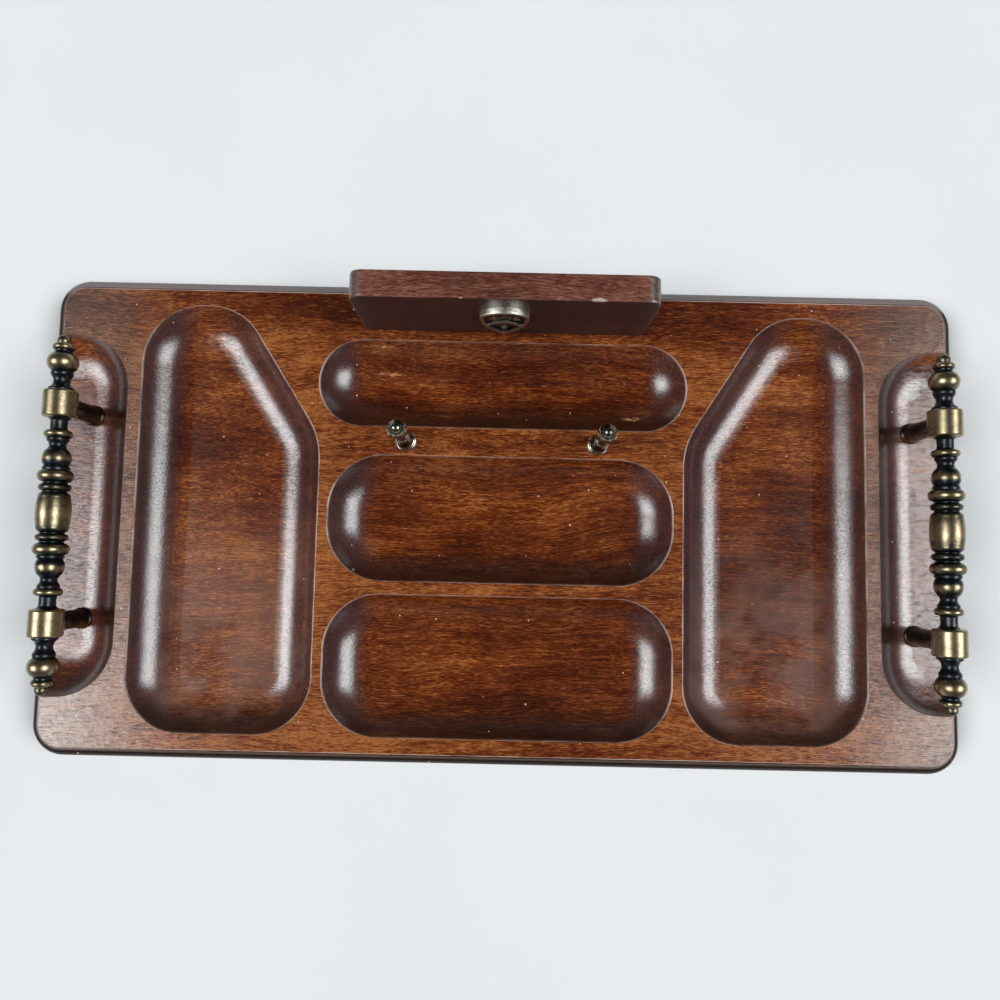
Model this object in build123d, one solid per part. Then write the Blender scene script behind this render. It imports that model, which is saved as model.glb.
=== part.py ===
from build123d import *
import math
import os

# A wooden valet tray with routed pockets, a back board, two pegs and two turned brass handles.
# Lengths are in millimetres. The origin is the centre of the underside, X runs along the tray,
# Y towards the back board and Z up.

# Tray board
tray_length = 424.0
tray_width = 222.0
tray_thickness = 19.0
tray_corner_radius = 14.5
edge_step = 1.2
edge_ledge = 0.4
edge_radius = 4.2
underside_ease = 1.0

# Felt under the tray
felt_thickness = 1.2
felt_inset = 6.0

# Pockets, all cut with the same round cutter, as are the hand recesses. The front pocket and the
# two side pockets take the room that the others leave.
pocket_depth = 11.4
pocket_cove_radius = 24.0
pocket_corner_radius = 26.0
rim_ease = 0.5
front_margin = 12.0
back_margin = 12.0
ridge_width = 6.0
narrow_ridge_width = 4.6
pocket_length = 160.2
middle_pocket_width = 58.4
peg_shelf_width = 13.5
trough_length = 172.2
side_pocket_head_length = 45.5
side_pocket_head_radius = 28.0
side_pocket_knee_radius = 36.0
slant_drop = 61.8
rounded_wall_share = 0.98

# Hand recesses at the two ends
recess_run = 36.5
recess_length = 168.4
recess_depth = 10.0

# Back board
board_length = 130.0
board_height = 48.0
board_thickness = 11.5
board_setback = 10.6
board_gap = 4.6
board_top_radius = 6.0
board_foot_radius = 3.0
board_ease = 0.8
board_screw_inset = 20.0

# Shield on the back board
shield_width = 21.4
shield_height = 30.0
shield_arch = 5.4
shield_straight = 4.0
shield_centre_height = 22.6
shield_plate = 1.3
shield_rim_height = 2.8
shield_rim_width = 1.9
shield_ease = 0.6
shield_charge_height = 2.2
chevron_rise = 5.0
chevron_width = 2.6
pellet_radius = 1.5
pellet_spread = 5.2
shield_pin_radius = 0.9
shield_pin_length = 5.0
shield_pin_spread = 4.0

# Pegs
peg_height = 38.7
peg_radius = 5.0
peg_pitch = 89.2

# Handles
handle_pitch = 96.0
handle_offset = 1.2
handle_inset = 16.3
handle_axis_height = 29.0
barrel_radius = 7.1
barrel_length = 12.0
barrel_ease = 1.0
post_radius = 4.9
spindle_radius = 7.1
finial_length = 25.3
finial_radius = 6.4
tenon_radius = 2.0
tenon_reach = 5.5

# Screws, driven from beneath and hidden by the felt
handle_screw_radius = 2.0
handle_screw_grip = 8.0
peg_screw_radius = 1.5
peg_screw_grip = 7.0
board_screw_radius = 2.0
board_screw_grip = 20.0
screw_head_radius = 3.6
screw_head_height = 2.4
screw_slot_width = 0.9
screw_slot_depth = 1.2
counterbore_depth = 3.4

# Fits
hole_clearance = 0.2
thread_clearance = 0.05
bore_end_room = 0.6
post_clearance = 0.3
overrun = 2.0

# Places that follow from the sizes
tray_base = felt_thickness
tray_top = tray_base + tray_thickness
rim_inset = edge_radius + edge_ledge


def cove_reach(radius, depth):
    """How far a cove of this radius runs in from its rim to its floor."""
    return math.sqrt(radius ** 2 - (radius - depth) ** 2)


board_front = tray_width / 2 - board_setback - board_thickness
board_y = board_front + board_thickness / 2
trough_width = 2 * cove_reach(pocket_cove_radius, pocket_depth)
trough_y = board_front - board_gap - trough_width / 2
peg_y = trough_y - (trough_width + peg_shelf_width) / 2
middle_pocket_y = peg_y - (peg_shelf_width + middle_pocket_width) / 2
front_pocket_back = middle_pocket_y - middle_pocket_width / 2 - ridge_width
front_pocket_width = front_pocket_back + tray_width / 2 - front_margin
front_pocket_y = front_pocket_back - front_pocket_width / 2
recess_line = tray_length / 2 - recess_run
recess_floor = tray_top - recess_depth
side_pocket_inner = pocket_length / 2 + narrow_ridge_width
side_pocket_outer = recess_line - ridge_width
side_pocket_width = side_pocket_outer - side_pocket_inner
handle_x = tray_length / 2 - handle_inset
handle_z = recess_floor + handle_axis_height
barrel_inner = (handle_pitch - barrel_length) / 2

# Turned outlines. Each row ends a stretch: its distance along the piece as a share of the
# piece's length, its radius and its bulge as shares of the piece's radius. A domed piece ends
# in a ball that starts at its last row.
spindle_start_share = 1.0
spindle_shares = [
    (0.155, 0.91, 0.02),
    (0.205, 0.74, 0.05),
    (0.225, 0.74, -0.05),
    (0.295, 0.74, 0.18),
    (0.320, 0.74, -0.06),
    (0.443, 0.76, 0.28),
    (0.476, 0.76, 0.02),
    (0.483, 0.68, 0.0),
    (0.652, 0.63, 0.17),
    (0.748, 0.60, -0.14),
    (0.786, 0.62, 0.03),
    (0.862, 0.60, 0.21),
    (0.880, 0.49, -0.03),
    (0.965, 0.49, -0.01),
    (1.0, 0.70, -0.03),
]
finial_start_share = 0.81
finial_shares = [
    (0.045, 0.81, 0.02),
    (0.056, 0.72, 0.0),
    (0.260, 0.67, -0.17),
    (0.348, 0.67, 0.05),
    (0.656, 0.66, 0.34),
    (0.715, 0.56, -0.05),
    (0.838, 0.41, 0.21),
]
peg_start_share = 0.92
peg_shares = [
    (0.047, 0.92, 0.08),
    (0.060, 0.82, -0.02),
    (0.100, 0.80, 0.10),
    (0.350, 0.46, -0.18),
    (0.426, 0.46, 0.19),
    (0.736, 0.50, -0.09),
    (0.780, 0.54, 0.14),
    (0.956, 0.52, 0.32),
]
post_start_share = 1.0
post_shares = [
    (0.050, 1.0, 0.02),
    (0.085, 0.90, -0.02),
    (1.0, 0.92, -0.05),
]


def ball_end(place, length):
    """The arc from a place on the outline to the piece's tip, centred on the axis."""
    centre = (length ** 2 - place[0] ** 2 - place[1] ** 2) / (2 * (length - place[1]))
    ball_radius = length - centre
    half_turn = math.atan2(place[0], place[1] - centre) / 2
    middle = (ball_radius * math.sin(half_turn), centre + ball_radius * math.cos(half_turn))
    return ThreePointArc(place, middle, (0, length))


def turned(length, radius, start_share, shares, domed=False):
    """A turned piece that stands on the origin, with Z as its axis."""
    place = (start_share * radius, 0)
    edges = [Line((0, 0), place)]
    for along_share, radius_share, bulge_share in shares:
        end = (radius_share * radius, along_share * length)
        run, rise = end[0] - place[0], end[1] - place[1]
        bulge = bulge_share * radius / math.hypot(run, rise)
        middle = ((place[0] + end[0]) / 2 + bulge * rise, (place[1] + end[1]) / 2 - bulge * run)
        edges.append(ThreePointArc(place, middle, end) if bulge else Line(place, end))
        place = end
    edges.append(ball_end(place, length) if domed else Line(place, (0, length)))
    edges.append(Line((0, length), (0, 0)))
    return Rot(90, 0, 0) * revolve(make_face(edges), Axis.Y)


def rod(radius, length):
    """A cylinder that stands on the origin."""
    return extrude(Circle(radius), length)


def rounded_outline(corners, radii):
    """A closed face with each corner rounded to its own radius."""
    face = make_face(Polyline(*corners, close=True))
    for corner, radius in zip(corners, radii):
        face = fillet(face.vertices().sort_by_distance(Vector(*corner, 0))[0], radius)
    return face


def cove_cutter(outline, cove_radius, depth):
    """The space over a coved pocket whose rim is the outline, cut from the tray's top."""
    growth = cove_radius - cove_reach(cove_radius, depth)
    block = extrude(offset(outline, growth), depth + cove_radius)
    block = fillet(block.edges().group_by(Axis.Z)[0], cove_radius)
    return Pos(0, 0, tray_top - depth) * block


def corner_for(wall):
    """The pockets' corner radius, or less where two corners share a shorter wall."""
    return min(pocket_corner_radius, rounded_wall_share * wall / 2)


def centre_pocket(width, y):
    corner = corner_for(width)
    outline = RectangleRounded(pocket_length, width, corner)
    return cove_cutter(Pos(0, y, 0) * outline, min(pocket_cove_radius, corner), pocket_depth)


def trough():
    """The back trough is one pass of the round cutter, with a ball end at each side."""
    half = trough_length / 2 - trough_width / 2
    bar = Rot(0, 90, 0) * Cylinder(pocket_cove_radius, 2 * half)
    shape = bar + [Pos(side * half, 0, 0) * Sphere(pocket_cove_radius) for side in (-1, 1)]
    return Pos(0, trough_y, tray_top - pocket_depth + pocket_cove_radius) * shape


def side_pocket():
    """A long pocket whose inner wall slants out towards a narrower head at the back."""
    front = -tray_width / 2 + front_margin
    back = tray_width / 2 - back_margin
    slant_run = side_pocket_width - side_pocket_head_length
    slant_turn = math.atan2(slant_drop, slant_run)
    head_room = rounded_wall_share * side_pocket_head_length
    head_radius = min(side_pocket_head_radius, head_room / (1 + math.tan(slant_turn / 2)))
    corner = corner_for(side_pocket_width)
    corners = [
        (side_pocket_outer, front),
        (side_pocket_outer, back),
        (side_pocket_inner + slant_run, back),
        (side_pocket_inner, back - slant_drop),
        (side_pocket_inner, front),
    ]
    radii = [corner, head_radius, head_radius, side_pocket_knee_radius, corner]
    cove_radius = min(pocket_cove_radius, corner, head_radius)
    return cove_cutter(rounded_outline(corners, radii), cove_radius, pocket_depth)


def hand_recess():
    """Open at the tray's end, so the outline runs on past it by its own corner."""
    run = tray_length / 2 - recess_line + 2 * pocket_corner_radius
    outline = RectangleRounded(run, recess_length, pocket_corner_radius)
    cove_radius = min(pocket_cove_radius, pocket_corner_radius)
    return cove_cutter(Pos(recess_line + run / 2, 0, 0) * outline, cove_radius, recess_depth)


def both_sides(solid):
    return [solid, mirror(solid, Plane.YZ)]


def screw_places():
    """Where each kind of screw comes up through the tray, as x and y."""
    places = {"handle": [], "peg": [], "board": []}
    for side in (-1, 1):
        for end in (-1, 1):
            y = end * handle_pitch / 2 - handle_offset
            places["handle"].append((side * handle_x, y))
        places["peg"].append((side * peg_pitch / 2, peg_y))
        places["board"].append((side * (board_length / 2 - board_screw_inset), board_y))
    return places


# Each kind's radius, the height of the surface that it comes through and its grip above it
screw_sizes = {
    "handle": (handle_screw_radius, recess_floor, handle_screw_grip),
    "peg": (peg_screw_radius, tray_top, peg_screw_grip),
    "board": (board_screw_radius, tray_top, board_screw_grip),
}
seat_z = tray_base + counterbore_depth


def screw(kind):
    """A pan-head screw under its seat in the tray, with a cross slot in its head."""
    radius, surface, grip = screw_sizes[kind]
    head = rod(screw_head_radius, screw_head_height)
    slot = Box(screw_head_radius, screw_slot_width, 2 * screw_slot_depth)
    head -= slot + Rot(0, 0, 90) * slot
    shank = Pos(0, 0, screw_head_height) * rod(radius, surface + grip - seat_z)
    return Pos(0, 0, seat_z - screw_head_height) * (head + shank)


def threaded_hole(kind):
    """The blind hole above the tray's surface that a screw grips in."""
    radius, surface, grip = screw_sizes[kind]
    hole = rod(radius + thread_clearance, grip + bore_end_room + overrun)
    return Pos(0, 0, -overrun) * hole


def is_rim(edge):
    """Whether an edge of the tray's top surface runs round a pocket."""
    middle = edge @ 0.5
    inside = abs(middle.X) < recess_line and abs(middle.Y) < tray_width / 2 - rim_inset - rim_ease
    return inside and abs(middle.Z - tray_top) < rim_ease / 2


def tray_body():
    slab = extrude(RectangleRounded(tray_length, tray_width, tray_corner_radius),
                   tray_thickness - edge_step)
    slab = fillet(slab.edges().group_by(Axis.Z)[-1], edge_radius)
    slab = chamfer(slab.edges().group_by(Axis.Z)[0], underside_ease)
    crown = extrude(RectangleRounded(tray_length - 2 * rim_inset, tray_width - 2 * rim_inset,
                                     tray_corner_radius - rim_inset), tray_thickness - underside_ease)
    body = Pos(0, 0, tray_base) * (slab + Pos(0, 0, underside_ease) * crown)
    body -= centre_pocket(front_pocket_width, front_pocket_y)
    body -= centre_pocket(middle_pocket_width, middle_pocket_y)
    body -= trough()
    body -= both_sides(side_pocket())
    body = fillet(body.edges().filter_by(is_rim), rim_ease)
    body -= both_sides(hand_recess())
    post_seat = rod(post_radius + post_clearance, recess_depth + overrun)
    body -= [Pos(x, y, recess_floor) * post_seat for x, y in screw_places()["handle"]]
    for kind, places in screw_places().items():
        radius = screw_sizes[kind][0] + hole_clearance
        counterbore = Pos(0, 0, tray_base - overrun) * rod(screw_head_radius + hole_clearance,
                                                           counterbore_depth + overrun)
        hole = Pos(0, 0, tray_base) * rod(radius, tray_thickness + overrun)
        body -= [Pos(x, y, 0) * (counterbore + hole) for x, y in places]
    return body


def felt_base():
    sheet = RectangleRounded(tray_length - 2 * felt_inset, tray_width - 2 * felt_inset,
                             tray_corner_radius - felt_inset)
    return extrude(sheet, felt_thickness)


def shield_plane(out=0.0):
    """On the board's front face at the shield's centre, facing the user."""
    return Plane((0, board_front - out, tray_top + shield_centre_height),
                 x_dir=(1, 0, 0), z_dir=(0, -1, 0))


def shield_outline():
    """An arched top, straight shoulders and sides that sweep in to a point."""
    half = shield_width / 2
    top = shield_height / 2 - shield_arch
    turn = top - shield_straight
    edges = [ThreePointArc((-half, top), (0, top + shield_arch), (half, top))]
    for side in (-1, 1):
        edges.append(Line((side * half, top), (side * half, turn)))
        edges.append(TangentArc((side * half, turn), (0, -shield_height / 2), tangent=(0, -1)))
    return make_face(edges)


def crest_shield():
    face = shield_plane()
    inner = offset(shield_outline(), -shield_rim_width, kind=Kind.INTERSECTION)
    shield = extrude(face * shield_outline(), shield_rim_height)
    shield = fillet(shield.edges().group_by(Axis.Y)[0], shield_ease)
    field = extrude(shield_plane(shield_plate) * inner, shield_rim_height)
    reach = shield_width / 2 - shield_rim_width
    low, high = -chevron_rise / 2, chevron_rise / 2
    top_line = [(-reach, low), (0, high), (reach, low)]
    foot_line = [(x, y - chevron_width) for x, y in reversed(top_line)]
    chevron = make_face(Polyline(*top_line, *foot_line, close=True))
    top_row = high + 2 * pellet_radius
    bottom_row = low - chevron_width - pellet_radius
    pellets = [Pos(x, y) * Circle(pellet_radius)
               for x, y in ((-pellet_spread, top_row), (pellet_spread, top_row), (0, bottom_row))]
    charge = extrude(face * chevron, shield_charge_height)
    charge += [extrude(face * pellet, shield_charge_height) for pellet in pellets]
    shield = shield - field + charge
    pins = [face * Pos(0, side * shield_pin_spread, -shield_pin_length)
            * rod(shield_pin_radius, shield_pin_length + shield_plate) for side in (-1, 1)]
    return shield + pins


def on_face(edge, face):
    """Whether an edge lies in the plane of a board face."""
    return all(abs(vertex.Y - face.center().Y) < board_ease / 2 for vertex in edge.vertices())


def back_board():
    board = Pos(0, board_y, tray_top + board_height / 2) * Box(board_length, board_thickness, board_height)
    across = board.edges().filter_by(Axis.Y).group_by(Axis.Z)
    board = fillet(across[-1], board_top_radius)
    across = board.edges().filter_by(Axis.Y).group_by(Axis.Z)
    board = fillet(across[0], board_foot_radius)
    for face in (board.faces().sort_by(Axis.Y)[0], board.faces().sort_by(Axis.Y)[-1]):
        board = fillet(board.edges().filter_by(lambda edge: on_face(edge, face)), board_ease)
    board -= [Pos(x, y, tray_top) * threaded_hole("board") for x, y in screw_places()["board"]]
    hole = rod(shield_pin_radius + thread_clearance, shield_pin_length + bore_end_room + overrun)
    plane = shield_plane()
    board -= [plane * Pos(0, side * shield_pin_spread, -shield_pin_length - bore_end_room) * hole
              for side in (-1, 1)]
    return board


def peg():
    return turned(peg_height, peg_radius, peg_start_share, peg_shares, domed=True) - threaded_hole("peg")


def spindle():
    """The middle of a handle, the same both ways from its centre, with a tenon at each end."""
    half = turned(barrel_inner, spindle_radius, spindle_start_share, spindle_shares)
    half += Pos(0, 0, barrel_inner) * rod(tenon_radius, barrel_length + tenon_reach)
    half = Rot(-90, 0, 0) * half
    return half + mirror(half, Plane.XZ)


def finial():
    """Screwed on the tenon's end, against the barrel."""
    socket = rod(tenon_radius + thread_clearance, tenon_reach + bore_end_room + overrun)
    body = turned(finial_length, finial_radius, finial_start_share, finial_shares, domed=True)
    return Rot(-90, 0, 0) * (body - Pos(0, 0, -overrun) * socket)


def stanchion():
    """A barrel that the spindle runs through, on a post that stands in the recess."""
    barrel = Rot(90, 0, 0) * Cylinder(barrel_radius, barrel_length)
    barrel = fillet(barrel.edges().filter_by(GeomType.CIRCLE), barrel_ease)
    post = turned(handle_axis_height, post_radius, post_start_share, post_shares)
    body = Pos(0, 0, handle_axis_height) * barrel + post
    bore = Rot(90, 0, 0) * Cylinder(tenon_radius + thread_clearance, barrel_length + 2 * overrun)
    return body - Pos(0, 0, handle_axis_height) * bore - threaded_hole("handle")


def handle_parts(side):
    """The pieces of one handle by name, in place; side is -1 at the left and 1 at the right."""
    hand = "left" if side < 0 else "right"
    pieces = {f"{hand}_handle_spindle": Pos(side * handle_x, -handle_offset, handle_z) * spindle()}
    for end, name in ((-1, "front"), (1, "rear")):
        y = end * handle_pitch / 2 - handle_offset
        pieces[f"{hand}_{name}_stanchion"] = Pos(side * handle_x, y, recess_floor) * stanchion()
        tip = finial() if end > 0 else mirror(finial(), Plane.XZ)
        pieces[f"{hand}_{name}_finial"] = Pos(side * handle_x, y + end * barrel_length / 2, handle_z) * tip
    return pieces


def screws(kind):
    return Compound([Pos(x, y, 0) * screw(kind) for x, y in screw_places()[kind]])


parts = {
    "tray_body": tray_body(),
    "felt_base": felt_base(),
    "back_board": back_board(),
    "crest_shield": crest_shield(),
    "left_peg": Pos(-peg_pitch / 2, peg_y, tray_top) * peg(),
    "right_peg": Pos(peg_pitch / 2, peg_y, tray_top) * peg(),
    "handle_screws": screws("handle"),
    "peg_screws": screws("peg"),
    "board_screws": screws("board"),
}
for side in (-1, 1):
    parts.update(handle_parts(side))

os.makedirs("parts", exist_ok=True)
for name, shape in parts.items():
    export_step(shape, f"parts/{name}.step")
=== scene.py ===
import bpy
import math
import numpy as np
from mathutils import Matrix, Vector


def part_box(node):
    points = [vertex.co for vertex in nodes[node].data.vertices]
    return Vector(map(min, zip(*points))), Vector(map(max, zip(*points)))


# The looks of a wooden valet tray with turned brass handles, two pegs and a shield on its back
# board. Places are in metres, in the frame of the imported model, unless a comment says otherwise.
# X runs along the tray, Y from its front to its back and Z up.

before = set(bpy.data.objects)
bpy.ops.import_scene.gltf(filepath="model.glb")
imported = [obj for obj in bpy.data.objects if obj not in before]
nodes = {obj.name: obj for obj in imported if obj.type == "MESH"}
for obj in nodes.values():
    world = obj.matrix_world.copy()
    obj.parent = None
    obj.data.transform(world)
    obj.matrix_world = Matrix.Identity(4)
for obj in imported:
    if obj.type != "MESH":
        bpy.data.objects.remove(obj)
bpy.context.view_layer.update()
MM = 0.001

# Camera of the photograph, held almost straight over the tray. It turns in degrees, and its lens
# and sensor are in millimetres.
camera_place = (0.0, -0.01721, 0.37822)
camera_turn = (4.3518, 0.0388, 1.2674)
camera_lens = 27.9
camera_sensor = 36.0

# Two long soft lights, one at each side and far away. Angles are from the vertical in degrees,
# and slopes are lengths along Y for each unit of height. Towards the front, from the first shift
# slope to the second, both lights move nearer the vertical by the shift.
lights = {
    "left": {"side": -1.0, "radiance": 9.8, "inner": 29.0, "outer": 53.0,
             "front": -0.50, "back": 0.15},
    "right": {"side": 1.0, "radiance": 8.6, "inner": 30.9, "outer": 54.9,
              "front": -0.50, "back": 0.28},
}
light_blur = 5.4
light_slope_blur = 0.15
light_shift = 1.5
light_shift_slopes = (-0.05, -0.22)
light_tint = (0.965, 1.0, 1.015)

# The dim room around them, by the parts of a direction of length one. The horizon has its own
# radiance at the front and at the back and is dimmer at the sides, and it fades to the zenith's.
# The lights take directions lower than the least height as being at it.
front_radiance = 0.14
back_radiance = 0.12
zenith_radiance = 0.02
side_share = 0.6
front_and_back = (-0.7, 0.7)
side_squares = (0.2, 0.8)
fade_heights = (0.20, 0.86)
least_height = 0.001

# Pale cloth under the tray, and the felt on its underside
cloth_half = 3.0
cloth_colours = ((0.83, 0.835, 0.84), (0.91, 0.91, 0.91))
felt_colours = ((0.020, 0.055, 0.030), (0.050, 0.120, 0.070))

# Tray body and board, in millimetres
tray_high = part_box("tray_body")[1]
board_low, board_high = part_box("back_board")
tray_half_x, tray_half_y, tray_top = (side / MM for side in tray_high)
board_half, board_top, board_front = board_high.x / MM, board_high.z / MM, board_low.y / MM
tray_corner = 14.5
edge_band = 4.6
pocket_floor = 8.8
recess_line = 175.5

# Specks and chips of the wood and painted glints, in millimetres. Specks lie one to a cell, and a
# share of the cells is bare. A chip has its place along the board's top front edge and its size,
# and each painted glint, a short pale streak standing for a golden highlight on the grain, has its
# place on the tray, its length and its width. Both are full within their cores, which are shares
# of their sizes, and their outlines wander by a bend, as the grain does. Chips are drawn out
# along X.
speck_spacing = 21.0
speck_smallest = 0.16
speck_largest = 0.42
bare_share = 0.5
chips = ((-18.0, 0.5), (38.5, 1.5), (40.5, 0.9), (62.5, 1.2))
chip_stretch = (0.45, 1.0, 1.0)
chip_core = 0.75
chip_bend = (0.9, 2.5)
glints = ((-54.0, 70.5, 8.0, 0.9), (-137.0, 86.0, 5.0, 1.0), (61.5, 50.5, 6.0, 1.1),
          (-58.0, 82.0, 9.0, 0.5))
glint_core = 0.2
glint_bend = (0.6, 2.5)

# Grain of the wood. It wanders by bends, each with its scale for each millimetre and its reach in
# millimetres. Each noise has its stretch, its scale, its detail and its roughness.
grain_bends = ((0.007, 30.0), (0.035, 1.8), (0.16, 0.4))
grain_noises = {
    "figure": ((0.12, 1.0, 1.0), 0.10, 2.0, 0.5),
    "streak": ((0.06, 1.0, 1.0), 0.48, 2.0, 0.6),
    "fibre": ((0.036, 1.0, 1.0), 2.5, 3.0, 0.65),
    "pore": ((0.22, 1.0, 1.0), 2.3, 1.0, 0.5),
    "ripple": ((1.0, 0.3, 0.3), 0.075, 2.0, 0.5),
    "blotch": ((0.55, 1.0, 1.0), 0.020, 3.0, 0.55),
}

# Noises that don't wander with the grain
straight_noises = {
    "grit": ((0.13, 1.0, 1.0), 2.6, 1.0, 0.5),
    "dots": ((1.0, 1.0, 1.0), 1.1, 3.0, 0.7),
    "waves": ((1.0, 1.0, 1.0), 0.17, 2.0, 0.5),
}

# Dark pores: the values of their noise where they begin and where they are full, how much of their
# colour shows, and the colour
pore_limits = (0.56, 0.66)
pore_share = 0.60
pore_colour = (0.034, 0.0080, 0.0030)

# How much each noise and each kind of place changes the tone of long grain and of end grain, and
# how much each noise breaks the gloss of the lacquer and lifts its film and the wood under it
tone_base = 0.475
tone_swings = {"figure": 0.75, "streak": 0.70, "fibre": 1.70, "grit": 1.15, "ripple": 0.35,
               "blotch": -1.10}
# Where the wood faces the front, its tone is painted paler as if lit from the front
tone_places = {"ends": 0.08, "rubbed": 0.32, "front": 0.10}
end_base = 0.5
end_swings = {"dots": 2.4, "blotch": -1.2, "streak": 0.5}
gloss_swings = {"fibre": -2.6, "grit": -1.7, "blotch": 0.9}
gloss_pores = 0.45
gloss_share = 0.87
film_shares = {"fibre": 1.0, "grit": 0.9, "streak": 0.8, "waves": 2.2}
relief_fibre = 0.5

# Colours of long grain from the darkest tone to the palest, and of end grain
tone_stops = (0.0, 0.30, 0.55, 0.80, 1.0)
tray_tones = ((0.0276, 0.0040, 0.0007), (0.0692, 0.0101, 0.0018), (0.1367, 0.0252, 0.0042),
              (0.2465, 0.0591, 0.0119), (0.4066, 0.1369, 0.0359))
board_tones = ((0.0600, 0.0154, 0.0087), (0.1150, 0.0317, 0.0179), (0.1900, 0.0625, 0.0379),
               (0.2750, 0.1075, 0.0696), (0.3800, 0.1792, 0.1280))
end_colours = ((0.0267, 0.0095, 0.0110), (0.0923, 0.0397, 0.0418))

# Patterns that break up the pale rims, the painted sheen and glints, and the roughness. Each has
# the stretch, the scale, the detail and the roughness of its noise, and the values of the noise
# where the pattern begins and where it is full. The pale rims, partly worn and partly a painted
# glint, and the roughness of the wood have a least value, to which a pattern adds more.
patterns = {
    "patchy": ((1.0, 1.0, 1.0), 0.06, 3.0, 0.6, (0.34, 0.62)),
    "streaky": ((0.4, 1.0, 1.0), 0.5, 4.0, 0.75, (0.36, 0.56)),
    "cloudy": ((1.0, 1.0, 1.0), 0.035, 3.0, 0.6, (0.32, 0.58)),
    "glint_break": ((0.3, 1.0, 1.0), 1.1, 2.0, 0.5, (0.36, 0.60)),
    "grey": ((1.0, 1.0, 1.0), 0.5, 4.0, 0.7, (0.35, 0.7)),
    "dull": ((1.0, 1.0, 1.0), 0.03, 4.0, 0.6, (0.35, 0.7)),
}
patchy_least = 0.30
patchy_more = 0.65
roughness_least = 0.27
roughness_more = 0.08

# Marks of wear and of painted light and shade, each with its colour and how much of it shows
# where it is full
marks = {
    # Pale rims, partly worn and partly a painted glint of the lights on the eased edges
    "rim_wear_and_glint": ((0.58, 0.45, 0.39), 1.0),
    # Painted sheen of the lights on the floors of the hand recesses
    "recess_sheen": ((0.42, 0.375, 0.365), 0.50),
    # Painted sheen of the light from the front on the side pockets' floors
    "pocket_sheen": ((0.34, 0.215, 0.175), 0.30),
    # Painted sheen, greying the wood at the tray's ends near the top
    "corner": ((0.110, 0.080, 0.064), 0.40),
    # Painted golden glints on the grain
    "glint": ((0.68, 0.36, 0.15), 0.75),
    # Painted shade of the rounded outline's dark outer line
    "outline": ((0.016, 0.010, 0.008), 0.95),
    # Painted shade of the dark line in the edge's step
    "step": ((0.020, 0.012, 0.009), 0.85),
    # Painted shade where the wood faces the back
    "back": ((0.0240, 0.0104, 0.0072), 0.78),
    # The board's front painted dark as shade
    "board_front": ((0.062, 0.031, 0.034), 1.0),
    # Painted grey sheen on the board's rounded ends
    "board_end_sheen": ((0.20, 0.175, 0.155), 0.45),
    "chip": ((0.60, 0.46, 0.37), 0.8),
    "speck": ((0.78, 0.60, 0.45), 0.85),
}
# Painted sheen of the edge's roundover, from the front to behind
edge_sheen_colours = ((0.12, 0.09, 0.075), (0.25, 0.22, 0.22))
edge_sheen_strength = 0.8

# Where marks begin and where they are full, in millimetres: depths below a top, distances from
# the middle along X, places along Y, and distances past the edge of the tray's flat top. The
# painted sheen of the recesses grows from left to right. The outline begins further out behind,
# and floors below the rim are taken to lie further in.
depths = {"rim_wear_and_glint": (0.9, 0.45), "rubbed": (0.4, 0.05), "step": (0.1, 0.4), "corner": (3.0, 1.0),
          "recess": (3.0, 8.0), "pocket": (4.0, 8.0), "lower_floor": (5.0, 7.0)}
sides = {"ends": (62.0, 112.0), "corner": (148.0, 190.0),
         "recess": (recess_line + 9.0, recess_line + 21.0),
         "board_end_sheen": (board_half - 9.0, board_half - 1.0)}
places_y = {"behind": (tray_half_y - 9.0, tray_half_y - 5.0), "rubbed": (95.0, 72.0),
            "pocket_front": (25.0, -60.0)}
sheen_rise = (-260.0, 160.0)
past = {"edge_sheen": (0.5, 1.0), "outline": (1.2, 2.0), "gloss": (0.0, 1.5)}
outline_behind = 2.0
floor_inwards = 9.0

# Bands with their ends and their blur, in millimetres
rim_band = (-0.30, 0.05, 0.08)
step_band = (0.02, 0.7, 0.1)
pocket_band = (80.0, 165.0, 22.0)

# Ways that a surface faces: the number of an axis, and the parts of the surface's direction along
# it where the way begins and where it is full
facings = {"left": (0, 0.0, -0.5), "front": (1, -0.15, -0.75), "back": (1, 0.15, 0.75),
           "board_front": (1, -0.80, -0.98), "sloped": (2, 0.995, 0.95),
           "flat": (2, 0.90, 0.98), "upright": (2, 0.30, 0.05)}

# End grain shows where the surface faces either way along X, less so to the left. The pale rims,
# partly worn and partly a painted glint, show less where the surface faces along Y and more
# behind, and the painted shade of the outline shows less on upright walls.
end_facing = (0.02, 0.42)
end_share = 0.86
left_share = 0.30
rim_facing = (0.1, 0.6)
rim_shares = (1.0, 0.18)
rim_glint_behind = 0.3
outline_upright = 0.40

# Gloss of the lacquer, from 0 to 1: what worn rims lose, what is left past the edge and on the
# floors of the pockets, and the board's away from its front and on it. Above a pocket's floor the
# gloss returns over a rise in millimetres.
rim_gloss_loss = 0.85
edge_gloss = 0.12
floor_gloss = 0.25
floor_rise = (0.02, 0.3)
board_gloss = (0.8, 0.32)

# Wear of the metal, from 0 to 1. A neck's patina ends over its blur. What lies less than the
# barrel's depth below the handle's axis is barrel, and the rest of a stanchion is post. The
# shield's field lies in front of the board, and what stands out or in from it by the relief is
# fully worn.
tip_wear = 0.52
barrel_wear = 0.9
# The posts' brighter flank towards the middle and front is a painted highlight
post_flank_highlight = 0.75
neck_blur = 0.4 * MM
post_radius = 4.9 * MM
barrel_depth = 5.2 * MM
shield_field = 1.3 * MM
shield_relief = 0.7 * MM

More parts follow.
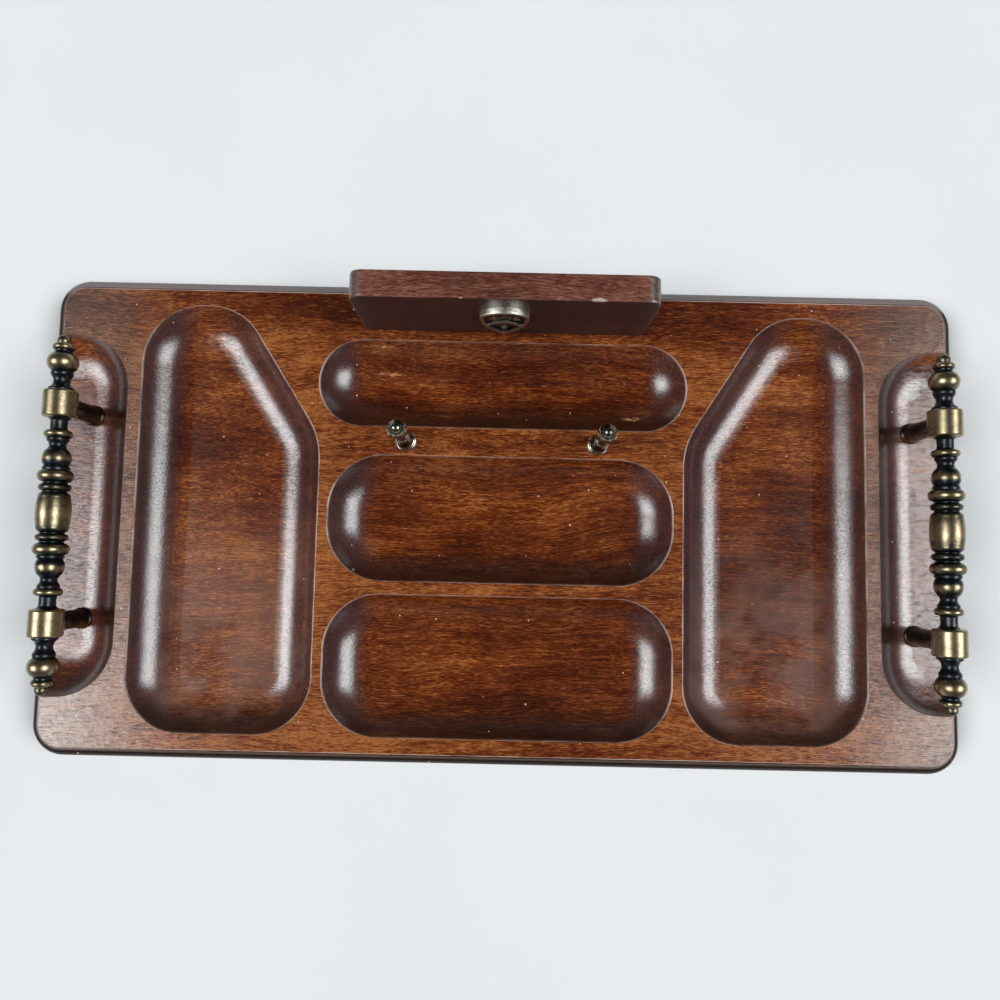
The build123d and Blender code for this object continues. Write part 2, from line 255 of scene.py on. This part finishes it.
# Aged metal: its noises as for the grain, how much they and the wear change its tone, and its
# colours for no wear, half wear and full wear
metal_noises = {
    "broad": ((1.0, 1.0, 1.0), 0.30, 4.0, 0.65),
    "fine": ((1.0, 1.0, 1.0), 1.4, 3.0, 0.75),
}
metal_swings = {"broad": 1.3, "fine": 1.2}
metal_wear_share = 0.9
metal_stops = (0.10, 0.45, 0.90)
brass_colours = ((0.022, 0.027, 0.034), (0.135, 0.112, 0.070), (0.37, 0.292, 0.172))
pewter_colours = ((0.012, 0.012, 0.011), (0.12, 0.113, 0.088), (0.58, 0.54, 0.42))
cast_colours = ((0.010, 0.010, 0.010), (0.20, 0.195, 0.165), (0.80, 0.77, 0.66))


def add_node(tree, kind, inputs=None, **settings):
    """A new node; each input is a number, a colour, a vector or another node's output."""
    node = tree.nodes.new(kind)
    for key, value in settings.items():
        setattr(node, key, value)
    for key, value in (inputs or {}).items():
        if isinstance(value, bpy.types.NodeSocket):
            tree.links.new(value, node.inputs[key])
        else:
            node.inputs[key].default_value = value
    return node


def maths(tree, operation, first, second=0.0, clamp=False):
    return add_node(tree, "ShaderNodeMath", {0: first, 1: second}, operation=operation,
                    use_clamp=clamp).outputs[0]


def total(tree, *values):
    result = values[0]
    for value in values[1:]:
        result = maths(tree, "ADD", result, value)
    return result


def product(tree, *values):
    result = values[0]
    for value in values[1:]:
        result = maths(tree, "MULTIPLY", result, value)
    return result


def minus(tree, first, second, clamp=False):
    return maths(tree, "SUBTRACT", first, second, clamp)


def size_of(tree, value):
    """The value without its sign."""
    return maths(tree, "ABSOLUTE", value)


def remap(tree, value, limits, results, kind="LINEAR"):
    """The value's way from one limit to the other, as a way from one result to the other."""
    return add_node(tree, "ShaderNodeMapRange", {0: value, 1: limits[0], 2: limits[1],
                                                 3: results[0], 4: results[1]},
                    interpolation_type=kind).outputs[0]


def step(tree, value, start, full):
    """A smooth rise from 0 at the start to 1 at the full value, which may be the lower one."""
    return remap(tree, value, (start, full), (0.0, 1.0), "SMOOTHSTEP")


def band(tree, value, low, high, blur):
    """1 from low to high and 0 outside, with soft ends."""
    return minus(tree, step(tree, value, low - blur, low + blur),
                 step(tree, value, high - blur, high + blur))


def vector_maths(tree, operation, first, second):
    key = "Scale" if operation == "SCALE" else 1
    return add_node(tree, "ShaderNodeVectorMath", {0: first, key: second},
                    operation=operation).outputs[0]


def split(tree, vector):
    return add_node(tree, "ShaderNodeSeparateXYZ", {0: vector}).outputs


def stretched(tree, place, shares):
    """Places with each part multiplied; a noise is drawn out along the parts that shrink."""
    return vector_maths(tree, "MULTIPLY", place, shares)


def distance(tree, place, spot, shares):
    """Distance from a spot, with each part of it multiplied."""
    away = stretched(tree, vector_maths(tree, "SUBTRACT", place, spot), shares)
    return add_node(tree, "ShaderNodeVectorMath", {0: away}, operation="LENGTH").outputs["Value"]


def place_in_mm(tree):
    place = add_node(tree, "ShaderNodeTexCoord").outputs["Object"]
    return vector_maths(tree, "SCALE", place, 1.0 / MM)


def noise(tree, place, scale, detail=2.0, roughness=0.5, colour=False):
    node = add_node(tree, "ShaderNodeTexNoise", {"Vector": place, "Scale": scale,
                                                 "Detail": detail, "Roughness": roughness})
    return node.outputs["Color" if colour else 0]


def noises(tree, place, table):
    """The noises of a table, by name."""
    return {name: noise(tree, stretched(tree, place, stretch), scale, detail, roughness)
            for name, (stretch, scale, detail, roughness) in table.items()}


def swing(tree, value, amount):
    """The noise as a change about zero."""
    return product(tree, minus(tree, value, 0.5), amount)


def swings(tree, grain, amounts):
    """Each named noise of the grain as a change by its amount."""
    return [swing(tree, grain[name], amount) for name, amount in amounts.items()]


def pattern(tree, place, name):
    """One of the patterns, from 0 to 1."""
    stretch, scale, detail, roughness, limits = patterns[name]
    value = noise(tree, stretched(tree, place, stretch), scale, detail, roughness)
    return step(tree, value, *limits)


def bend(tree, place, scale, reach):
    """Places moved up to about a fifth of the reach across the grain."""
    shift = noise(tree, place, scale, colour=True)
    shift = vector_maths(tree, "SUBTRACT", shift, (0.5, 0.5, 0.5))
    return vector_maths(tree, "ADD", place, stretched(tree, shift, (0.0, reach, reach)))


def at_depth(tree, height, name, top):
    """A rise from 0 to 1 between two of the depths below the top."""
    start, full = depths[name]
    return step(tree, height, top - start, top - full)


def faces(tree, facing, name):
    """From 0 to 1 as the surface comes to face one of the ways."""
    axis, start, full = facings[name]
    return step(tree, facing[axis], start, full)


def rgb(colour):
    return (*colour, 1.0)


def mix(tree, share, first, second):
    return add_node(tree, "ShaderNodeMix", {0: share, 6: first, 7: second},
                    data_type="RGBA").outputs[2]


def mix_pair(tree, share, colours):
    return mix(tree, share, *(rgb(colour) for colour in colours))


def paint(tree, colour, mark, *shares):
    """The colour with a mark over it, which shows by the product of the shares."""
    over, strength = marks[mark]
    return mix(tree, product(tree, *shares, strength), colour, rgb(over))


def ramp(tree, value, places, colours):
    """A colour that runs through the colours, each at its place from 0 to 1."""
    node = add_node(tree, "ShaderNodeValToRGB", {0: value})
    elements = node.color_ramp.elements
    while len(elements) < len(colours):
        elements.new(0.5)
    for element, place, colour in zip(elements, places, colours):
        element.position = place
        element.color = rgb(colour)
    return node.outputs[0]


def bump(tree, strength, relief, height):
    """A bumpy surface direction, with the relief in millimetres."""
    return add_node(tree, "ShaderNodeBump", {"Strength": strength, "Distance": relief * MM,
                                             "Height": height}).outputs[0]


def new_material(name, **shader_values):
    """A material, its tree and its shader, with the values that are the same all over it."""
    material = bpy.data.materials.new(name)
    material.use_nodes = True
    tree = material.node_tree
    shader = tree.nodes["Principled BSDF"]
    for key, value in shader_values.items():
        shader.inputs[key.replace("_", " ")].default_value = value
    return material, tree, shader


def link_all(tree, shader, outputs):
    """Values that differ from place to place, by the shader's names for them."""
    for key, output in outputs.items():
        tree.links.new(output, shader.inputs[key])


def specks(tree, place):
    """1 on small nicks and dust, scattered and few."""
    cells = add_node(tree, "ShaderNodeTexVoronoi",
                     {"Vector": stretched(tree, place, (1.0, 1.0, 0.0)),
                      "Scale": 1 / speck_spacing}, voronoi_dimensions="2D")
    draw = add_node(tree, "ShaderNodeSeparateColor", {0: cells.outputs["Color"]}).outputs
    size = remap(tree, draw[1], (0.0, 1.0),
                 (speck_smallest / speck_spacing, speck_largest / speck_spacing))
    inside = maths(tree, "LESS_THAN", cells.outputs["Distance"], size)
    return product(tree, inside, maths(tree, "GREATER_THAN", draw[0], bare_share))


def past_edge(tree, across, along):
    """How far a place lies beyond the tray's flat top, towards its rounded outline."""
    corner = [maths(tree, "MAXIMUM", minus(tree, size_of(tree, value), half - tray_corner), 0.0)
              for value, half in ((across, tray_half_x), (along, tray_half_y))]
    away = maths(tree, "SQRT", total(tree, *(product(tree, value, value) for value in corner)))
    return minus(tree, away, tray_corner - edge_band)


def rims_worn_and_glinting(tree, colour, place, facing, outside, behind):
    """Pale patchy rims on the hollows and along the edge's step, partly wear and partly a painted
    glint.

    The second result is the gloss, which is lost there, past the edge and on the pocket floors.
    """
    height = split(tree, place)[2]
    patchy = total(tree, product(tree, pattern(tree, place, "patchy"), patchy_more), patchy_least)
    # Paler rims behind: a painted glint of the back edge
    patchy = total(tree, patchy, product(tree, behind, rim_glint_behind))
    rim_wear_and_glint = product(tree, at_depth(tree, height, "rim_wear_and_glint", tray_top), faces(tree, facing, "sloped"))
    # Pale line along the edge of the flat top, partly wear and partly a painted glint
    edge_line = band(tree, outside, *rim_band)
    loss = product(tree, maths(tree, "MAXIMUM", rim_wear_and_glint, edge_line), rim_gloss_loss)
    gloss = minus(tree, remap(tree, outside, past["gloss"], (1.0, edge_gloss)), loss, clamp=True)
    above_floor = remap(tree, height, [pocket_floor + rise for rise in floor_rise],
                        (floor_gloss, 1.0), "SMOOTHSTEP")
    rim_wear_and_glint = product(tree, rim_wear_and_glint, remap(tree, size_of(tree, facing[1]), rim_facing, rim_shares))
    rim_wear_and_glint = maths(tree, "MAXIMUM", rim_wear_and_glint, edge_line)
    return paint(tree, colour, "rim_wear_and_glint", rim_wear_and_glint, patchy), product(tree, gloss, above_floor)


def painted_sheens(tree, colour, place):
    """Painted sheen of the lights in the hand recesses, at the front of the side pockets and on the
    corners.
    """
    across, along, height = split(tree, place)
    side = size_of(tree, across)
    # Painted sheen in the hand recesses, growing from left to right
    colour = paint(tree, colour, "recess_sheen", step(tree, side, *sides["recess"]),
                   at_depth(tree, height, "recess", tray_top), pattern(tree, place, "streaky"),
                   step(tree, across, *sheen_rise))
    # Painted sheen towards the front of the side pockets
    colour = paint(tree, colour, "pocket_sheen", pattern(tree, place, "cloudy"),
                   at_depth(tree, height, "pocket", tray_top),
                   step(tree, along, *places_y["pocket_front"]), band(tree, side, *pocket_band))
    # Painted sheen greying the ends of the top
    return paint(tree, colour, "corner", step(tree, side, *sides["corner"]),
                 at_depth(tree, height, "corner", tray_top))


def painted_glints(tree, colour, place):
    """Short pale streaks painted as golden glints on the grain."""
    ragged = bend(tree, place, *glint_bend)
    glint_break = pattern(tree, place, "glint_break")
    # Each painted glint
    for x, y, length, width in glints:
        away = distance(tree, ragged, (x, y, 0.0), (1 / length, 1 / width, 0.0))
        colour = paint(tree, colour, "glint", step(tree, away, 1.0, glint_core), glint_break)
    return colour


def edged(tree, colour, place, facing, outside, behind):
    """Painted sheen on the edge, paler behind, and painted shade along the outline, lighter on
    the side walls, and in a line in its step.
    """
    height = split(tree, place)[2]
    # Painted sheen on the roundover past the edge, paler behind
    edge_sheen = mix_pair(tree, behind, edge_sheen_colours)
    edge_sheen_amount = product(tree, step(tree, outside, *past["edge_sheen"]), edge_sheen_strength)
    colour = mix(tree, edge_sheen_amount, colour, edge_sheen)
    # Painted shade along the outline, beginning further out behind
    beyond = minus(tree, outside, product(tree, behind, outline_behind))
    over, strength = marks["outline"]
    upright = product(tree, faces(tree, facing, "upright"), outline_upright)
    dark = product(tree, step(tree, beyond, *past["outline"]), minus(tree, strength, upright))
    colour = mix(tree, dark, colour, rgb(over))
    # Painted shade line in the edge's step
    return paint(tree, colour, "step", band(tree, outside, *step_band),
                 at_depth(tree, height, "step", tray_top))


def tray_wear_and_painted_light(tree, colour, place, facing):
    """The tray's worn colour with its painted sheen, glints and shade, and the gloss of its
    lacquer.

    Only the top and the outline take the edge's marks, so the floors of the recesses, which run out
    to the outline, are taken to lie well inside it.
    """
    across, along, height = split(tree, place)
    lower_floor = product(tree, faces(tree, facing, "flat"),
                          at_depth(tree, height, "lower_floor", tray_top))
    outside = minus(tree, past_edge(tree, across, along), product(tree, lower_floor, floor_inwards))
    behind = step(tree, along, *places_y["behind"])
    colour, gloss = rims_worn_and_glinting(tree, colour, place, facing, outside, behind)
    colour = painted_glints(tree, painted_sheens(tree, colour, place), place)
    return edged(tree, colour, place, facing, outside, behind), gloss


def board_wear_and_painted_light(tree, colour, place, facing):
    """The board's front painted dark as shade, its ends painted with a grey sheen, its chips along
    its top front edge, and its gloss.
    """
    front = faces(tree, facing, "board_front")
    side = size_of(tree, split(tree, place)[0])
    # Painted shade over the board's front
    colour = paint(tree, colour, "board_front", front)
    # Painted grey sheen on the board's rounded ends
    colour = paint(tree, colour, "board_end_sheen", step(tree, side, *sides["board_end_sheen"]),
                   pattern(tree, place, "grey"))
    ragged = bend(tree, place, *chip_bend)
    for x, size in chips:
        away = distance(tree, ragged, (x, board_front, board_top), chip_stretch)
        colour = paint(tree, colour, "chip", step(tree, away, size, size * chip_core))
    return colour, remap(tree, front, (0.0, 1.0), board_gloss)


def long_grain(tree, grain, tones, place, facing, top):
    """The colour along the grain.

    It is paler towards the ends and where its top is rubbed, and painted paler where the wood
    faces the front, as if lit from the front.
    """
    across, along, height = split(tree, place)
    shares = {
        "ends": step(tree, size_of(tree, across), *sides["ends"]),
        "rubbed": product(tree, at_depth(tree, height, "rubbed", top),
                          step(tree, along, *places_y["rubbed"])),
        # Painted light: paler where the wood faces the front
        "front": faces(tree, facing, "front"),
    }
    tone = total(tree, *swings(tree, grain, tone_swings),
                 *(product(tree, shares[name], amount) for name, amount in tone_places.items()),
                 tone_base)
    return ramp(tree, tone, tone_stops, tones)


def end_grain(tree, grain, colour, facing):
    """Darker grain where the wood faces along X, less so to the left, and painted shade facing
    back.
    """
    share = product(tree, step(tree, size_of(tree, facing[0]), *end_facing), end_share)
    left = product(tree, faces(tree, facing, "left"), left_share)
    tone = total(tree, *swings(tree, grain, end_swings), end_base)
    colour = mix(tree, minus(tree, share, left, clamp=True), colour,
                 mix_pair(tree, tone, end_colours))
    # Painted shade on walls that face the back
    return paint(tree, colour, "back", faces(tree, facing, "back"))


def wood(name, tones, wear, top, drift, coat_roughness):
    """Stained and lacquered mahogany with its own wear, painted light and shade, and a few nicks.

    The drift moves the grain, so that each board has its own. The drift and the top are in
    millimetres.
    """
    material, tree, shader = new_material(name, Specular_IOR_Level=0.15,
                                          Coat_Roughness=coat_roughness, Coat_IOR=1.75)
    place = place_in_mm(tree)
    facing = split(tree, add_node(tree, "ShaderNodeNewGeometry").outputs["True Normal"])
    lines = vector_maths(tree, "ADD", place, drift)
    for scale, reach in grain_bends:
        lines = bend(tree, lines, scale, reach)
    grain = noises(tree, lines, grain_noises) | noises(tree, place, straight_noises)
    colour = long_grain(tree, grain, tones, place, facing, top)
    pores = product(tree, step(tree, grain["pore"], *pore_limits), pore_share)
    colour = mix(tree, pores, colour, rgb(pore_colour))
    colour = end_grain(tree, grain, colour, facing)
    colour, gloss = wear(tree, colour, place, facing)
    colour = paint(tree, colour, "speck", specks(tree, place))
    broken = total(tree, product(tree, pores, gloss_pores), *swings(tree, grain, gloss_swings))
    gloss = minus(tree, gloss, product(tree, broken, gloss), clamp=True)
    relief = minus(tree, product(tree, grain["fibre"], relief_fibre), pores)
    film = total(tree, *(product(tree, grain[part], share) for part, share in film_shares.items()))
    link_all(tree, shader, {
        "Base Color": colour,
        "Coat Weight": product(tree, gloss, gloss_share),
        "Roughness": total(tree, product(tree, pattern(tree, place, "dull"), roughness_more),
                           roughness_least),
        "Normal": bump(tree, strength=0.35, relief=0.06, height=relief),
        "Coat Normal": bump(tree, strength=1.0, relief=0.040, height=film),
    })
    return material


def metal(name, colours, bright_roughness, dull_roughness, relief=0.02):
    """Aged metal, brighter where it is worn, with its relief in millimetres."""
    material, tree, shader = new_material(name, Metallic=1.0, Coat_Weight=0.25,
                                          Coat_Roughness=0.2)
    wear = add_node(tree, "ShaderNodeAttribute", attribute_name="wear").outputs["Fac"]
    place = place_in_mm(tree)
    broad, fine = swings(tree, noises(tree, place, metal_noises), metal_swings)
    share = total(tree, product(tree, wear, metal_wear_share), broad, fine)
    link_all(tree, shader, {
        "Base Color": ramp(tree, share, metal_stops, colours),
        "Roughness": remap(tree, share, (metal_stops[0], metal_stops[-1]),
                           (dull_roughness, bright_roughness)),
        "Normal": bump(tree, strength=0.5, relief=relief, height=fine),
    })
    return material


def felt():
    material, tree, shader = new_material("felt", Roughness=0.95, Sheen_Weight=0.4)
    tone = noise(tree, place_in_mm(tree), scale=0.9, detail=5.0, roughness=0.7)
    link_all(tree, shader, {
        "Base Color": mix_pair(tree, tone, felt_colours),
        "Normal": bump(tree, strength=0.6, relief=0.3, height=tone),
    })
    return material


def dress(name, material):
    """The CAD node keeps its shape and takes this material in all its slots."""
    mesh = nodes[name].data
    mesh.materials.clear()
    mesh.materials.append(material)


def points(name):
    mesh = nodes[name].data
    places = np.zeros(len(mesh.vertices) * 3, np.float32)
    mesh.vertices.foreach_get("co", places)
    return places.reshape(-1, 3).astype(float)


def set_wear(name, values):
    mesh = nodes[name].data
    layer = mesh.attributes.new("wear", "FLOAT", "POINT")
    layer.data.foreach_set("value", np.clip(values, 0, 1).astype(np.float32))


def turned_wear(name, axis, centre, reach, low, high, tip=0.0, neck=0.0):
    """Wear of a turned piece: its proud rings are rubbed and its narrow places keep their patina.

    A place's radius is compared with the largest one within the reach, and wear grows with that
    share from low to high. The tip at the outer end is rubbed too, and the neck at the inner end
    keeps its patina, each over its length.
    """
    places = points(name)
    others = [i for i in range(3) if i != axis]
    radius = np.hypot(places[:, others[0]] - centre[0], places[:, others[1]] - centre[1])
    along = places[:, axis]
    order = np.argsort(along)
    sorted_along = along[order]
    sorted_radius = radius[order]
    first = np.searchsorted(sorted_along, sorted_along - reach)
    last = np.searchsorted(sorted_along, sorted_along + reach)
    envelope = np.array([sorted_radius[a:b].max() for a, b in zip(first, last)])
    share = np.zeros(len(places))
    share[order] = sorted_radius / envelope
    wear = (share - low) / (high - low)
    out = np.abs(along)
    wear = np.where(out > out.max() - tip, np.maximum(wear, tip_wear), wear)
    past_neck = (out - out.min() - neck) / neck_blur
    set_wear(name, wear * np.clip(past_neck, 0, 1) if neck else wear)


def stanchion_wear(name, axis_height):
    """The barrel is rubbed all over. The post's brighter brass towards the tray's middle and front
    is a painted highlight.
    """
    places = points(name)
    low, high = places.min(0), places.max(0)
    towards = np.array([-np.sign(low[0]), -1.0]) / math.sqrt(2.0)
    side = (places[:, :2] - (low[:2] + high[:2]) / 2) @ towards / post_radius
    set_wear(name, np.where(places[:, 2] > axis_height - barrel_depth, barrel_wear,
                            post_flank_highlight * np.clip(side, 0, 1) ** 2))


def make_camera():
    data = bpy.data.cameras.new("camera")
    data.lens = camera_lens
    data.sensor_width = camera_sensor
    camera = bpy.data.objects.new("camera", data)
    bpy.context.scene.collection.objects.link(camera)
    camera.location = camera_place
    camera.rotation_mode = "ZYX"
    camera.rotation_euler = [math.radians(angle) for angle in camera_turn]
    bpy.context.scene.camera = camera


def make_world():
    """A dim room with a long soft light at each side of the tray."""
    world = bpy.data.worlds.new("studio")
    bpy.context.scene.world = world
    world.use_nodes = True
    tree = world.node_tree
    direction = add_node(tree, "ShaderNodeTexCoord").outputs["Generated"]
    across, along, height = split(tree, direction)
    level = maths(tree, "MAXIMUM", height, least_height)
    slope = maths(tree, "DIVIDE", along, level)
    shift = product(tree, step(tree, slope, *light_shift_slopes), light_shift)
    parts = []
    for light in lights.values():
        angle = maths(tree, "ARCTAN2", product(tree, across, light["side"]), level)
        angle = total(tree, product(tree, angle, math.degrees(1.0)), shift)
        parts.append(product(tree, band(tree, angle, light["inner"], light["outer"], light_blur),
                             band(tree, slope, light["front"], light["back"], light_slope_blur),
                             light["radiance"]))
    horizon = remap(tree, along, front_and_back, (front_radiance, back_radiance))
    sideways = remap(tree, product(tree, across, across), side_squares, (1.0, side_share))
    room = remap(tree, height, fade_heights,
                 (product(tree, horizon, sideways), zenith_radiance), "SMOOTHSTEP")
    background = tree.nodes["Background"]
    link_all(tree, background, {"Strength": total(tree, *parts, room)})
    background.inputs["Color"].default_value = rgb(light_tint)


def make_floor():
    mesh = bpy.data.meshes.new("floor")
    mesh.from_pydata([(x * cloth_half, y * cloth_half, 0)
                      for x, y in ((-1, -1), (1, -1), (1, 1), (-1, 1))], [], [(0, 1, 2, 3)])
    floor = bpy.data.objects.new("floor", mesh)
    bpy.context.scene.collection.objects.link(floor)
    material, tree, shader = new_material("cloth", Roughness=0.9)
    tone = noise(tree, place_in_mm(tree), scale=0.006, detail=3.0)
    link_all(tree, shader, {"Base Color": mix_pair(tree, tone, cloth_colours)})
    mesh.materials.append(material)


make_camera()
make_world()
make_floor()

brass = metal("antique_brass", brass_colours, bright_roughness=0.33, dull_roughness=0.40)
pewter = metal("pewter", pewter_colours, bright_roughness=0.17, dull_roughness=0.30)
cast_pewter = metal("cast_pewter", cast_colours, bright_roughness=0.30, dull_roughness=0.40,
                    relief=0.22)
steel = new_material("screw_steel", Metallic=1.0, Roughness=0.3)[0]

dress("tray_body", wood("mahogany", tray_tones, tray_wear_and_painted_light, tray_top,
                        drift=(0.0, 0.0, 0.0), coat_roughness=0.155))
dress("back_board", wood("mahogany_board", board_tones, board_wear_and_painted_light, board_top,
                         drift=(300.0, 80.0, 40.0), coat_roughness=0.34))
dress("felt_base", felt())
for name in ("handle_screws", "peg_screws", "board_screws"):
    dress(name, steel)

for hand in ("left", "right"):
    low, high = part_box(f"{hand}_handle_spindle")
    centre = ((low.x + high.x) / 2, (low.z + high.z) / 2)
    turned_wear(f"{hand}_handle_spindle", 1, centre, reach=5 * MM, low=0.84, high=1.02)
    dress(f"{hand}_handle_spindle", brass)
    for end in ("front", "rear"):
        turned_wear(f"{hand}_{end}_finial", 1, centre, reach=3.6 * MM, low=0.62, high=0.98,
                    tip=4.2 * MM, neck=8.6 * MM)
        dress(f"{hand}_{end}_finial", brass)
        stanchion_wear(f"{hand}_{end}_stanchion", centre[1])
        dress(f"{hand}_{end}_stanchion", brass)
    low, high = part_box(f"{hand}_peg")
    turned_wear(f"{hand}_peg", 2, ((low.x + high.x) / 2, (low.y + high.y) / 2), reach=5 * MM,
                low=0.45, high=0.95, tip=3.5 * MM)
    dress(f"{hand}_peg", pewter)

shield_depth = board_low.y - points("crest_shield")[:, 1]
set_wear("crest_shield", np.abs(shield_depth - shield_field) / shield_relief)
dress("crest_shield", cast_pewter)

bpy.context.scene.view_settings.view_transform = "Standard"
